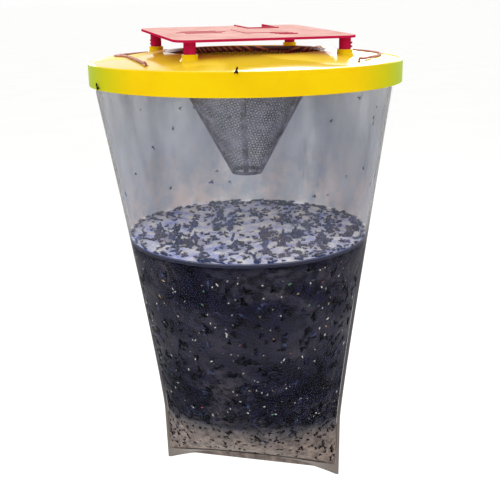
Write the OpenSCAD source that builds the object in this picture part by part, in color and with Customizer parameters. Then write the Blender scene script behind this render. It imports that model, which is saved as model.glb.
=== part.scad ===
// Hanging bag trap for flying insects.
// A press-fit lid carries a raised roof plate, a net funnel and a clear film pouch that holds bait liquid.
// Millimetres, +Z up. The origin is on the lid's axis, level with the top of its rim.

/* [Lid] */
// Outer radius of the lid's skirt
lid_r = 95; // [79:1:114]
// Height of the skirt below the rim
skirt_h = 13.4; // [10:0.2:20]
// Thickness of the moulded lid wall
lid_wall = 1.6; // [1.2:0.1:2.4]
// Radius of the entry opening
entry_r = 49; // [40:1:59]
// Height of the entry's edge above the rim
dome_h = 5; // [3:0.5:9]
// Depth of the collar round the entry, from the entry's edge
collar_h = 4.6; // [4:0.2:7]
// Width of the raised lip round the rim
lip_w = 1.8; // [1.2:0.2:3]
// Height of the lip above the foot of the dome
lip_h = 0.8; // [0.4:0.1:1.4]

/* [Roof plate] */
// How far the plate's edges are from the legs' axes
roof_edge = 7.75; // [5:0.25:12]
// How far the plate's middle is off the legs' middle, to the side
roof_shift = -1.5; // [-3:0.25:3]
// Thickness of the plate
roof_t = 1.4; // [1:0.1:2.4]
// Radius of the plate's corners
roof_corner_r = 9; // [4:1:16]
// Slope of the plate, highest at the back, in degrees
roof_pitch = 1.8; // [0:0.1:4]
// Distance between the legs, along each side
leg_pitch = 91.5; // [88:0.5:110]
// Radius of a leg
leg_r = 3.4; // [2.6:0.1:4.2]
// Length of the front legs that shows when the roof is up
leg_show = 6.7; // [5:0.1:12]
// Radial gap between a leg and its socket
leg_clear = 0.06; // [0.04:0.01:0.1]
// Wall of a socket
socket_wall = 1; // [0.8:0.1:1.6]
// Height of a socket above the dome
socket_h = 3; // [2:0.5:5]
// How far a leg's barbs stand out
barb = 0.5; // [0.3:0.1:0.7]
// Width of the hanger slot in the roof
slot_w = 18; // [10:1:26]
// Length of the hanger slot, from the back edge
slot_l = 29; // [20:1:38]
// Distance of the slot from the plate's middle
slot_x = 21; // [14:1:24]
// Height of the raised ribs beside the slot
rib_h = 0.7; // [0.4:0.1:1.6]
// Height of the faint raised marks on the roof
mark_h = 0.3; // [0.2:0.05:0.8]

/* [Net funnel] */
// Radius of the funnel's exit
exit_r = 9; // [7:0.5:14]
// Depth of the funnel's exit below the rim
exit_depth = 71; // [55:1:85]
// Thickness of the net
net_t = 0.6; // [0.4:0.1:1]
// Width of the flange that the ring holds
net_flange = 2.4; // [2:0.1:3.4]
// Height of the ring that holds the flange
funnel_ring_h = 1.8; // [1.2:0.1:2]

/* [Pouch] */
// Thickness of the pouch film
film_t = 0.3; // [0.2:0.05:0.5]
// Radial thickness of the pouch ring
pouch_ring_t = 2.4; // [1.6:0.1:3]
// Depth of the pouch's corners below the rim
pouch_depth = 283; // [230:1:340]
// Width of the pouch's bottom seam
seam_w = 124; // [100:1:150]
// How far the middle of the bottom seam is drawn up
seam_rise = 10; // [4:1:16]
// Width of the welded strip down each side
weld_w = 2; // [1:0.5:4]
// Turn of the bottom seam from the roof's front edge, in degrees
pouch_turn = -30; // [-90:1:90]
// Turn of the pouch's mouth back from its bottom seam, in degrees
pouch_twist = 17; // [0:1:30]

/* [Contents] */
// Depth of the liquid's surface below the rim
liquid_depth = 111; // [95:1:150]
// Gap between the contents and the film
content_gap = 0.6; // [0.4:0.1:1]
// Thickness of the floating catch
catch_t = 3.5; // [2:0.5:8]
// Share of the pouch's depth where the sludge starts
sludge_from = 0.84; // [0.7:0.01:0.92]

/* [Cord] */
// Diameter of the cord
cord_d = 1.4; // [1.2:0.1:1.6]
// Radius of the cord holes
cord_hole_r = 1.5; // [1.3:0.05:1.8]
// Distance of the cord holes from the lid's axis
cord_hole_at = 82; // [80:0.5:84]
// Turn of the cord holes from the legs, in degrees
cord_hole_turn = -13; // [-15:0.5:-11]
// Diameter of a stopper knot
knot_d = 4.4; // [4:0.2:5]

/* [Hidden] */
$fn = 96;

eps = 0.01;
seat_clear = 0.1;
rim_round = 1.2;
bead_in = 0.7;
bead_h = 1.2;
dome_foot_r = lid_r - rim_round - lip_w;
skirt_in_r = lid_r - lid_wall;
skirt_end = -skirt_h;
collar_end = dome_h - collar_h;
seat_z = dome_h - lid_wall - 0.3;
flange_in_r = entry_r - 0.2;
flange_r = flange_in_r + net_flange;
collar_in_r = flange_r + 2 * seat_clear;
collar_out_r = collar_in_r + lid_wall;

// Height of the dome's outer face at a distance from the lid's axis
function dome_z(r) = dome_h - (dome_h + lip_h) * pow((r - entry_r) / (dome_foot_r - entry_r), 1.15);

leg_at = leg_pitch / 2;
leg_circle_r = leg_at * sqrt(2);
roof_side = leg_pitch + 2 * roof_edge;
socket_r = leg_r + leg_clear + socket_wall;
socket_flare = 0.9;
socket_top = dome_z(leg_circle_r) + socket_h;
socket_foot = dome_z(leg_circle_r + socket_r) - lid_wall;
leg_places = [for (x = [-1, 1], y = [-1, 1]) [x * leg_at, y * leg_at]];
// The turn that faces a leg's +Y side away from the lid's middle
function leg_turn(p) = atan2(p[1], p[0]) - 90;
cord_hole_angles = [for (k = [0:3]) 45 + 90 * k + cord_hole_turn];
roof_z = socket_top + leg_show;

// Height of the plate's underside at a distance y from the lid's middle
function roof_under(y) = roof_z + (y + leg_at) * tan(roof_pitch);

// ---- Lid: skirt, lip, dome and collar in one turned wall, with four sockets and four cord holes

dome_steps = 16;

function arc_points(cx, cz, r, from, to, steps) =
    [for (i = [0:steps]) let (a = from + (to - from) * i / steps) [cx + r * cos(a), cz + r * sin(a)]];

function dome_points(from_r, to_r, drop) =
    [for (i = [0:dome_steps]) let (r = from_r + (to_r - from_r) * i / dome_steps) [r, dome_z(r) - drop]];

module lid_profile() {
    polygon(concat(
        [[lid_r, skirt_end]],
        arc_points(lid_r - rim_round, -rim_round, rim_round, 0, 90, 5),
        [[dome_foot_r + lip_h, 0]],
        dome_points(dome_foot_r, entry_r + 0.4, 0),
        [[entry_r, dome_h - 0.4], [entry_r, seat_z], [collar_in_r, seat_z], [collar_in_r, collar_end],
         [collar_out_r, collar_end]],
        dome_points(collar_out_r, dome_foot_r, lid_wall),
        [[skirt_in_r, -lip_h - lid_wall], [skirt_in_r, skirt_end + bead_h + bead_in],
         [skirt_in_r - bead_in, skirt_end + bead_h], [skirt_in_r - bead_in, skirt_end]]
    ));
}

module at_legs() {
    for (p = leg_places) translate([p[0], p[1], 0]) rotate([0, 0, leg_turn(p)]) children();
}

module at_cord_holes() {
    for (a = cord_hole_angles) rotate([0, 0, a]) translate([cord_hole_at, 0, 0]) children();
}

module socket_body() {
    translate([0, 0, socket_foot]) cylinder(r = socket_r, h = socket_top - socket_foot);
    translate([0, 0, socket_foot + 1]) cylinder(r1 = socket_r + socket_flare + 0.6, r2 = socket_r, h = 2.4);
}

// Two teeth stand out of each leg and run in a keyway of its socket
tooth_w = 1.4;
tooth_out = 0.8;
tooth_h = 1.1;
tooth_pitch = 2.1;
tooth_clear = 0.15;

module keyway() {
    translate([-tooth_w / 2 - tooth_clear, 0, socket_foot - 1])
        cube([tooth_w + 2 * tooth_clear, leg_r + tooth_out + tooth_clear, socket_top - socket_foot + 2]);
}

module lid() {
    color("gold")
    difference() {
        union() {
            rotate_extrude() lid_profile();
            at_legs() socket_body();
        }
        at_legs() translate([0, 0, socket_foot - 1]) cylinder(r = leg_r + leg_clear, h = socket_top - socket_foot + 2);
        at_legs() keyway();
        at_cord_holes() translate([0, 0, -4]) cylinder(r = cord_hole_r, h = 8);
    }
}

// ---- Roof plate: a sloping sheet with a hanger slot, on four legs with split, barbed feet

rib_w = 1.6;
slot_end_y = roof_side / 2 - slot_l;
line_w = 30;
line_x = -26;
line_gap = 7;
pad_w = 22;
pad_l = 32;
pad_x = 8;
bar_l = 11;
bar_gap = 5;
barb_gap = 0.15;
barb_len = 2.4;
barb_slit = 1;
barb_top = socket_foot - barb_gap;

module rounded_square(side, r) {
    square([side - 2 * r, side], center = true);
    square([side, side - 2 * r], center = true);
    for (x = [-1, 1], y = [-1, 1]) translate([x * (side / 2 - r), y * (side / 2 - r)]) circle(r = r);
}

module slot_ribs() {
    for (s = [-1, 1]) translate([slot_x + s * (slot_w + rib_w) / 2 - rib_w / 2, slot_end_y, 0])
        cube([rib_w, slot_l, roof_t + rib_h]);
    translate([slot_x - slot_w / 2 - rib_w, slot_end_y - rib_w, 0])
        cube([slot_w + 2 * rib_w, rib_w, roof_t + rib_h]);
}

// Plain raised lines, a pad and three bars, where such a lid has its moulded marks
module raised_marks() {
    for (k = [-1:1]) translate([line_x - line_w / 2 + 4 * abs(k), k * line_gap, 0])
        cube([line_w - 8 * abs(k), rib_w, roof_t + mark_h]);
    translate([pad_x - pad_w / 2, -pad_l / 2, 0]) cube([pad_w, pad_l, roof_t + mark_h]);
    for (k = [1:3]) translate([pad_x + 2 + k, -pad_l / 2 - k * bar_gap, 0])
        cube([bar_l, rib_w, roof_t + 2 * mark_h]);
}

module roof_sheet() {
    difference() {
        union() {
            linear_extrude(roof_t) rounded_square(roof_side, roof_corner_r);
            slot_ribs();
            raised_marks();
        }
        translate([slot_x - slot_w / 2, slot_end_y, -1]) cube([slot_w, slot_l + 2, roof_t + rib_h + 2]);
    }
}

// A leg up to a height inside the plate, with its barbed foot
module leg(top) {
    translate([0, 0, barb_top - barb_len]) difference() {
        union() {
            cylinder(r = leg_r, h = top - barb_top + barb_len);
            cylinder(r1 = leg_r - 0.5, r2 = leg_r + barb, h = barb_len);
        }
        translate([-2 * leg_r, -barb_slit / 2, -1]) cube([4 * leg_r, barb_slit, barb_len + 3]);
    }
    for (k = [0:1]) translate([-tooth_w / 2, 0, socket_top + 1 + k * tooth_pitch])
        cube([tooth_w, leg_r + tooth_out, tooth_h]);
}

module roof_plate() {
    color("crimson")
    union() {
        translate([roof_shift, 0, roof_under(0)]) rotate([roof_pitch, 0, 0]) roof_sheet();
        for (p = leg_places) translate([p[0], p[1], 0]) rotate([0, 0, leg_turn(p)])
            leg(roof_under(p[1]) + roof_t / 2);
    }
}

// ---- Net funnel, and the ring that presses its flange up under the entry's edge

flange_z = seat_z - net_t;
net_slope = (flange_in_r - exit_r) / (exit_depth + seat_z);
net_side_t = net_t / cos(atan(net_slope));

module net_funnel() {
    color("dimgray")
    rotate_extrude() polygon([
        [flange_r, seat_z], [flange_in_r, seat_z], [exit_r, -exit_depth], [exit_r + net_side_t, -exit_depth],
        [flange_in_r + net_side_t, flange_z], [flange_r, flange_z]
    ]);
}

module funnel_ring() {
    color("crimson")
    translate([0, 0, flange_z - funnel_ring_h]) rotate_extrude()
        translate([flange_in_r + net_side_t + seat_clear, 0])
            square([collar_in_r - flange_in_r - net_side_t - 2 * seat_clear, funnel_ring_h]);
}

// ---- Pouch: two film panels welded down the sides and along the bottom, on a ring in the skirt

pouch_ring_out = skirt_in_r - seat_clear;
pouch_ring_in = pouch_ring_out - pouch_ring_t;
pouch_ring_top = -lip_h - lid_wall - 0.5;
pouch_ring_end = skirt_end + bead_h + bead_in;
mouth_r = pouch_ring_in - seat_clear;
seam_half = seam_w / 2 - weld_w;
pouch_l = pouch_depth - skirt_h - weld_w;
round_until = 0.2;
taper_until = 0.85;
film_rings = 26;
film_steps = 24;

module pouch_ring() {
    color("gold")
    rotate_extrude() polygon([
        [pouch_ring_out, pouch_ring_end], [pouch_ring_out, pouch_ring_top - 0.6],
        [pouch_ring_out - 0.6, pouch_ring_top], [pouch_ring_in, pouch_ring_top], [pouch_ring_in, pouch_ring_end]
    ]);
}

// The pouch's shape at a share t of its depth, 0 at the skirt's end and 1 at the bottom seam
function half_width(t) = seam_half + (mouth_r - seam_half) * pow(min(1, max(0, 1 - t / taper_until)), 1.16);
function flatness(t) = let (u = max(0, (t - round_until) / (1 - round_until))) pow(max(0, 1 - u * u), 0.55);
function wall_z(t, x) =
    skirt_end - pouch_l * t + seam_rise * pow(max(0, t), 6) * max(0, 1 - pow(x / seam_half, 2));

// The pouch twists from its mouth down to its bottom seam
function twisted(p, t) = let (a = pouch_turn + pouch_twist * (1 - max(0, t)))
    [p[0] * cos(a) - p[1] * sin(a), p[0] * sin(a) + p[1] * cos(a), p[2]];

// A point of the wall before the twist, inset from its outer face; angles 0 and 180 are on the side seams
function wall_point(t, angle, inset) =
    let (a = half_width(t) - inset,
         b = max(0, half_width(t) * flatness(t) - inset),
         x = a * cos(angle),
         s = sin(angle))
    [x, b * pow(abs(s), 1 + 0.7 * pow(max(0, t), 3)) * sign(s), wall_z(t, x)];

// One panel's outline before the twist: its outer face from seam to seam, then its inner face back
function panel_ring(t) =
    let (w = min(weld_w, max(0.05, weld_w * 50 * t)),
         e = half_width(t) + w,
         outer = [for (k = [0:film_steps]) wall_point(t, 180 * k / film_steps, 0)],
         inner = [for (k = [film_steps:-1:0]) wall_point(t, 180 * k / film_steps, film_t)])
    concat(
        [[e, film_t, wall_z(t, e)]],
        [for (p = outer) [p[0], max(film_t, p[1]), p[2]]],
        [[-e, film_t, wall_z(t, e)], [-e, 0, wall_z(t, e)]],
        inner,
        [[e, 0, wall_z(t, e)]]
    );

// Faces between rings of n points, and a last ring that closes on the first
function side_faces(n, m) = [for (i = [0:m - 2], k = [0:n - 1]) each
    let (a = i * n + k, b = i * n + (k + 1) % n, c = a + n, d = b + n) [[a, b, c], [b, d, c]]];

// side is 1 for the back panel and -1 for the front panel
module film_panel(side) {
    shares = concat([-0.03, 0, 0.012, 0.022], [for (i = [1:film_rings]) 1 - pow(1 - i / film_rings, 1.3)],
                    [1 + weld_w / pouch_l]);
    rings = [for (t = shares) [for (p = panel_ring(t)) twisted([p[0], side * p[1], p[2]], t)]];
    n = len(rings[0]);
    m = len(rings);
    last = (m - 1) * n;
    faces = concat(
        side_faces(n, m),
        [for (j = [0:n / 2 - 2]) each [[j, n - 1 - j, j + 1], [j + 1, n - 1 - j, n - 2 - j]]],
        [for (j = [0:n / 2 - 2]) each [[last + j, last + j + 1, last + n - 1 - j],
                                       [last + j + 1, last + n - 2 - j, last + n - 1 - j]]]
    );
    polyhedron(
        points = [for (r = rings) each r],
        faces = side > 0 ? faces : [for (f = faces) [f[2], f[1], f[0]]],
        convexity = 6
    );
}

module back_film() {
    color("lightgray", 0.4) film_panel(1);
}

module front_film() {
    color("lightgray", 0.4) film_panel(-1);
}

// ---- Contents: the catch afloat, the liquid under it and the sludge at the bottom

content_inset = film_t + content_gap;
content_steps = 40;
liquid_from = (liquid_depth - skirt_h) / pouch_l;
catch_from = (liquid_depth - catch_t - skirt_h) / pouch_l;
layer_gap = 0.001;
sludge_to = 0.985;

module content_layer(from, to, n_rings) {
    rings = [for (i = [0:n_rings]) let (t = from + (to - from) * i / n_rings)
        [for (k = [0:content_steps - 1]) twisted(wall_point(t, 360 * k / content_steps, content_inset), t)]];
    n = content_steps;
    m = n_rings + 1;
    top = [0, 0, rings[0][n / 4][2]];
    bottom = [0, 0, rings[m - 1][n / 4][2]];
    polyhedron(
        points = concat([for (r = rings) each r], [top, bottom]),
        faces = concat(
            side_faces(n, m),
            [for (k = [0:n - 1]) [k, m * n, (k + 1) % n]],
            [for (k = [0:n - 1]) [(m - 1) * n + k, (m - 1) * n + (k + 1) % n, m * n + 1]]
        ),
        convexity = 4
    );
}

module floating_catch() {
    color("lavender") content_layer(catch_from, liquid_from - layer_gap, 1);
}

module bait_liquid() {
    color("midnightblue") content_layer(liquid_from, sludge_from - layer_gap, 14);
}

module bottom_sludge() {
    color("tan") content_layer(sludge_from, sludge_to, 8);
}

// ---- Cords: each is knotted under two holes and lies slack on the lid, with a fold behind the dome

cord_sides = 8;
knot_z = dome_z(cord_hole_at) - lid_wall - knot_d / 2 + 0.1;

// The lists hold x, y and the gap over the dome

left_cord_points = [
    [-69.5, -43.4, -1], [-69.6, -42.6, 0.2], [-69.8, -40.6, 0.8], [-70.2, -36, 0.3], [-70.8, -24, 0.2],
    [-71.2, -10, 0.2], [-71.5, 4, 0.2], [-72, 18, 0.2], [-73, 32, 0.2], [-73, 45, 0.3], [-68.5, 55, 0.4],
    [-57.7, 66.4, 0.2], [-45.3, 75.4, 0.2], [-31.5, 82.2, 0.2], [-16.8, 86.4, 0.2], [-1.5, 88, 0.2],
    [12, 87.2, 0.2], [18.2, 86, 0.4], [20.6, 83.6, 0.5], [20, 81, 0.5], [17, 80, 0.3], [6, 81.8, 0.2],
    [-8.6, 81.5, 0.2], [-22.6, 78.8, 0.2], [-34, 74.6, 0.3], [-40.6, 71.2, 1], [-42.6, 70.1, 0.3],
    [-43.4, 69.6, -1]
];

right_cord_points = [
    [43.6, -69.5, -1], [44.2, -68.9, 0.3], [45.6, -67.6, 0.9], [50, -63.2, 0.3], [58, -55, 0.2],
    [66, -46, 0.2], [74, -34, 0.2], [80, -22, 0.2], [84.5, -9, 0.1], [87, 4, 0.1], [86.1, 18.3, 0.2],
    [81.6, 33, 0.2], [74.6, 46.6, 0.2], [65.4, 58.9, 0.2], [54.2, 69.3, 0.2], [44.5, 76, 0.2],
    [39.5, 78.4, 0.4], [36.3, 77.5, 0.4], [35.6, 74.7, 0.4], [38, 72.4, 0.3], [47, 67.2, 0.2],
    [58, 58, 0.2], [64.6, 50.5, 0.3], [67.9, 46.1, 1], [69, 44.3, 0.3], [69.5, 43.6, -1]
];

function over_dome(p) = [p[0], p[1], dome_z(norm([p[0], p[1]])) + cord_d / 2 + p[2]];
function in_hole(p) = over_dome([p[0], p[1], -lid_wall - cord_d / 2 + 0.2]);
function laid(points) = concat(
    [in_hole(points[0])], [for (p = points) over_dome(p)], [in_hole(points[len(points) - 1])]);

// A smooth curve through the points, with extra points between them
cord_smooth = 2;
function spline_at(a, b, c, d, u) =
    (2 * b + (c - a) * u + (2 * a - 5 * b + 4 * c - d) * u * u + (3 * b - a - 3 * c + d) * u * u * u) / 2;
function smooth_path(p) = let (last = len(p) - 1) concat(
    [for (i = [0:last - 1], j = [0:cord_smooth - 1])
        spline_at(p[max(0, i - 1)], p[i], p[i + 1], p[min(last, i + 2)], j / cord_smooth)],
    [p[last]]
);

function unit(v) = v / norm(v);
function tangent_at(p, i) = unit(p[min(len(p) - 1, i + 1)] - p[max(0, i - 1)]);
// Each ring's side direction is the last one's, turned square to the new tangent
function side_vectors(p, i = 0, v = [1, 0, 0]) =
    let (t = tangent_at(p, i), s = unit(v - (v * t) * t))
    i == len(p) - 1 ? [s] : concat([s], side_vectors(p, i + 1, s));

module cord(points) {
    path = smooth_path(laid(points));
    sides = side_vectors(path);
    m = len(path);
    n = cord_sides;
    polyhedron(
        points = [for (i = [0:m - 1], k = [0:n - 1])
            let (t = tangent_at(path, i), s = sides[i], a = 360 * k / n)
            path[i] + (s * cos(a) + cross(t, s) * sin(a)) * cord_d / 2],
        faces = concat(
            [for (f = side_faces(n, m)) [f[2], f[1], f[0]]],
            [[for (k = [0:n - 1]) k]],
            [[for (k = [n - 1:-1:0]) (m - 1) * n + k]]
        ),
        convexity = 6
    );
}

module knot(angle) {
    rotate([0, 0, angle]) translate([cord_hole_at, 0, knot_z]) sphere(d = knot_d);
}

module left_cord() {
    color("darkred") cord(left_cord_points);
}

module right_cord() {
    color("darkred") cord(right_cord_points);
}

module left_knots() {
    color("darkred") {
        knot(cord_hole_angles[1]);
        knot(cord_hole_angles[2]);
    }
}

module right_knots() {
    color("darkred") {
        knot(cord_hole_angles[0]);
        knot(cord_hole_angles[3]);
    }
}

// ---- Two flies that sit on the lid, one over the rim's front edge and one low on the skirt at the left

fly_r = 1;
fly_l = 2.2;

module fly() {
    cylinder(r = fly_r, h = fly_l, center = true);
    for (s = [-1, 1]) translate([0, 0, s * fly_l / 2]) sphere(r = fly_r);
}

module perched_flies() {
    color("black") {
        rotate([0, 0, -110]) translate([lid_r - rim_round, 0, -rim_round]) rotate([0, -45, 0])
            translate([rim_round + fly_r + 0.05, 0, 0]) fly();
        rotate([0, 0, 192.5]) translate([lid_r + fly_r + 0.05, 0, skirt_end + 2 * fly_r]) fly();
    }
}

lid();
roof_plate();
funnel_ring();
net_funnel();
pouch_ring();
front_film();
back_film();
bait_liquid();
floating_catch();
bottom_sludge();
left_cord();
right_cord();
left_knots();
right_knots();
perched_flies();
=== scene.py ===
import bpy
import bmesh
import math
import random
from mathutils import Matrix, Vector, noise


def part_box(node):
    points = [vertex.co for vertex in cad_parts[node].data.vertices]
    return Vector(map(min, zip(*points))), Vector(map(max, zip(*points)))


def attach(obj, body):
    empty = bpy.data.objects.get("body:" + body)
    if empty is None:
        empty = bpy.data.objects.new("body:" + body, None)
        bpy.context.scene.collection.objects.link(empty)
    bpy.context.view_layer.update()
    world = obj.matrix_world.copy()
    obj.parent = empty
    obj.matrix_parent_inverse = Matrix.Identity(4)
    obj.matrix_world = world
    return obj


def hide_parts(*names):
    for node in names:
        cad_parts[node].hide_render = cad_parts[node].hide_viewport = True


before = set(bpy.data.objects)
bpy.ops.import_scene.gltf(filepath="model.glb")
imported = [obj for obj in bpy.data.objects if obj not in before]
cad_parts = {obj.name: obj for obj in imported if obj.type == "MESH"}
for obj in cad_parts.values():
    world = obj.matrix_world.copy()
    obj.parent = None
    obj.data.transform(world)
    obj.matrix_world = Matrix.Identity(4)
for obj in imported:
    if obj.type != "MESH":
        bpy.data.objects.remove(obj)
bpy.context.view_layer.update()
scene = bpy.context.scene
trap = "trap"
mm = 0.001


def hexLinear(text):
    # sRGB hex to linear colour
    values = [int(text[i:i + 2], 16) / 255 for i in (1, 3, 5)]
    return tuple(v / 12.92 if v <= 0.04045 else ((v + 0.055) / 1.055) ** 2.4 for v in values) + (1,)


def addNode(tree, kind, settings=None, links=None):
    # settings go to a property or an input of that name, links to an input
    made = tree.nodes.new(kind)
    for name, value in (settings or {}).items():
        if isinstance(name, str) and hasattr(made, name):
            setattr(made, name, value)
        else:
            made.inputs[name].default_value = value
    for name, output in (links or {}).items():
        tree.links.new(output, made.inputs[name])
    return made


def addRamp(tree, factor, stops):
    ramp = addNode(tree, "ShaderNodeValToRGB", links={"Fac": factor})
    while len(ramp.color_ramp.elements) < len(stops):
        ramp.color_ramp.elements.new(0.5)
    for element, (place, colour) in zip(ramp.color_ramp.elements, stops):
        element.position = place
        element.color = colour
    return ramp.outputs["Color"]


def startMaterial(name, **settings):
    material = bpy.data.materials.new(name)
    material.use_nodes = True
    tree = material.node_tree
    shader = tree.nodes["Principled BSDF"]
    for key, value in settings.items():
        shader.inputs[key.replace("_", " ")].default_value = value
    coords = addNode(tree, "ShaderNodeTexCoord").outputs["Object"]
    return material, tree, shader, coords


def addBump(tree, shader, height, strength, distance):
    bump = addNode(tree, "ShaderNodeBump", {"Strength": strength, "Distance": distance}, {"Height": height})
    tree.links.new(bump.outputs["Normal"], shader.inputs["Normal"])


def grey(value):
    return value, value, value, 1


def fromAxis(tree, coords):
    # distance from the lid's axis
    level = addNode(tree, "ShaderNodeVectorMath", {"operation": "MULTIPLY", 1: (1, 1, 0)}, {0: coords})
    away = addNode(tree, "ShaderNodeVectorMath", {"operation": "LENGTH"}, {0: level.outputs[0]})
    return away.outputs["Value"]


def paintNode(name, material):
    # a CAD node keeps its shape and takes a better material
    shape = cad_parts[name]
    shape.data.materials.clear()
    shape.data.materials.append(material)


def finishPiece(bm, name, material, replaced=()):
    mesh = bpy.data.meshes.new(name)
    bm.to_mesh(mesh)
    bm.free()
    mesh.materials.append(material)
    for face in mesh.polygons:
        face.use_smooth = True
    piece = bpy.data.objects.new(name, mesh)
    scene.collection.objects.link(piece)
    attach(piece, trap)
    if replaced:
        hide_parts(*replaced)
    return piece


# The camera is a little above the rim and looks slightly down

cameraSet = {"turn": -17.3, "distance": 0.516, "height": 0.035, "pitch": 17.02, "roll": -0.875,
             "yaw": -0.12, "lens": 59.27}


def makeCamera():
    data = bpy.data.cameras.new("camera")
    data.sensor_width = 36
    data.lens = cameraSet["lens"]
    data.clip_start = 0.01
    camera = bpy.data.objects.new("camera", data)
    scene.collection.objects.link(camera)
    place = Matrix.Rotation(math.radians(cameraSet["turn"]), 4, "Z")
    place = place @ Matrix.Translation((0, -cameraSet["distance"], cameraSet["height"]))
    place = place @ Matrix.Rotation(math.radians(cameraSet["yaw"]), 4, "Z")
    place = place @ Matrix.Rotation(math.radians(90 - cameraSet["pitch"]), 4, "X")
    camera.matrix_world = place @ Matrix.Rotation(math.radians(cameraSet["roll"]), 4, "Z")
    scene.camera = camera


makeCamera()
print("camera placed")


# The cords are thin twine through the lid's holes, slack over the dome

cordSet = {"diameter": 1.4 * mm, "colour": "#8A2E1C", "fibre": "#B5603C", "leftLength": 0.274,
           "rightLength": 0.238, "holeEnd": -1.4}
domeSet = {"top": 5, "fall": 5.8, "entryR": 49, "footR": 92, "power": 1.15}

# x, y and the gap over the dome, in millimetres
leftCordPoints = [
    (-69.5, -43.4, -1), (-69.6, -42.6, 0.2), (-69.8, -40.6, 0.8), (-70.2, -36, 0.3), (-70.8, -24, 0.2),
    (-71.2, -10, 0.2), (-71.5, 4, 0.2), (-72, 18, 0.2), (-73, 32, 0.2), (-73, 45, 0.3), (-68.5, 55, 0.4),
    (-57.7, 66.4, 0.2), (-45.3, 75.4, 0.2), (-31.5, 82.2, 0.2), (-16.8, 86.4, 0.2), (-1.5, 88, 0.2),
    (12, 87.2, 0.2), (18.2, 86, 0.4), (20.6, 83.6, 0.5), (20, 81, 0.5), (17, 80, 0.3), (6, 81.8, 0.2),
    (-8.6, 81.5, 0.2), (-22.6, 78.8, 0.2), (-34, 74.6, 0.3), (-40.6, 71.2, 1), (-42.6, 70.1, 0.3),
    (-43.4, 69.6, -1)]

rightCordPoints = [
    (43.6, -69.5, -1), (44.2, -68.9, 0.3), (45.6, -67.6, 0.9), (50, -63.2, 0.3), (58, -55, 0.2),
    (66, -46, 0.2), (74, -34, 0.2), (80, -22, 0.2), (84.5, -9, 0.1), (87, 4, 0.1), (86.1, 18.3, 0.2),
    (81.6, 33, 0.2), (74.6, 46.6, 0.2), (65.4, 58.9, 0.2), (54.2, 69.3, 0.2), (44.5, 76, 0.2),
    (39.5, 78.4, 0.4), (36.3, 77.5, 0.4), (35.6, 74.7, 0.4), (38, 72.4, 0.3), (47, 67.2, 0.2),
    (58, 58, 0.2), (64.6, 50.5, 0.3), (67.9, 46.1, 1), (69, 44.3, 0.3), (69.5, 43.6, -1)]


def domeHeight(r):
    run = max(0, (r - domeSet["entryR"]) / (domeSet["footR"] - domeSet["entryR"]))
    return domeSet["top"] - domeSet["fall"] * run ** domeSet["power"]


def overDome(point):
    x, y, gap = point
    return x, y, domeHeight(math.hypot(x, y)) + cordSet["diameter"] / mm / 2 + gap


def layCord(points):
    # both ends go down through their holes
    down = cordSet["holeEnd"] - cordSet["diameter"] / mm / 2
    ends = [(x, y, down) for x, y, gap in (points[0], points[-1])]
    return [overDome(p) for p in [ends[0]] + points + [ends[1]]]


def smoothPath(points, steps):
    # a curve through the points, with steps stretches between each two
    points = [Vector(p) * mm for p in points]
    path = []
    last = len(points) - 1
    for i in range(last):
        a, b, c, d = points[max(0, i - 1)], points[i], points[i + 1], points[min(last, i + 2)]
        for j in range(steps):
            u = j / steps
            path.append((2 * b + (c - a) * u + (2 * a - 5 * b + 4 * c - d) * u * u
                         + (3 * b - a - 3 * c + d) * u ** 3) / 2)
    return path + [points[last]]


def twistedTwine():
    # polypropylene baler twine, twisted: satin fibres that show as fine slanting ridges
    material, tree, shader, coords = startMaterial("twistedPolypropyleneTwine", Roughness=0.62, IOR=1.49)
    grain = addNode(tree, "ShaderNodeTexWave", {"Scale": 420.0, "Distortion": 3.0, "Detail": 2.0,
                                                "bands_direction": "DIAGONAL"}, {"Vector": coords})
    colour = addRamp(tree, grain.outputs["Fac"], [(0.2, hexLinear(cordSet["colour"])),
                                                  (0.9, hexLinear(cordSet["fibre"]))])
    tree.links.new(colour, shader.inputs["Base Color"])
    addBump(tree, shader, grain.outputs["Fac"], 0.6, 0.0002)
    return material


twine = twistedTwine()


def makeCord(name, node, points, knots):
    path = smoothPath(layCord(points), 3)
    data = bpy.data.curves.new(name, "CURVE")
    data.dimensions = "3D"
    data.bevel_depth = cordSet["diameter"] / 2
    data.bevel_resolution = 4
    data.use_fill_caps = True
    line = data.splines.new("POLY")
    line.points.add(len(path) - 1)
    for spot, place in zip(line.points, path):
        spot.co = (*place, 1)
    data.materials.append(twine)
    cord = bpy.data.objects.new(name, data)
    scene.collection.objects.link(cord)
    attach(cord, trap)
    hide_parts(node)
    measured = sum((b - a).length for a, b in zip(path, path[1:]))
    print(name, "is", round(measured, 4), "m long")
    paintNode(knots[0].name, twine)


makeCord("leftTwine", "left_cord", leftCordPoints, [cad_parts["left_knots"]])
makeCord("rightTwine", "right_cord", rightCordPoints, [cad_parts["right_knots"]])
print("cords laid")


lidSet = {"yellow": "#EAC50A", "shade": "#E4BC0A", "dome": "#F4D030", "green": "#A8B808", "dirt": "#8A6A1C",
          "skirtFrom": 0.09}
# the funnel ring's dark crimson is painted shade under the lid, tinted red by light through the roof
ringSet = {"shadeCrimson": "#5A1216", "worn": "#7E2A22"}
roofSet = {"side": "#B81C4A", "faded": "#DFB0A8", "dark": "#D09890", "worn": "#ECC8C0"}


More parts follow.
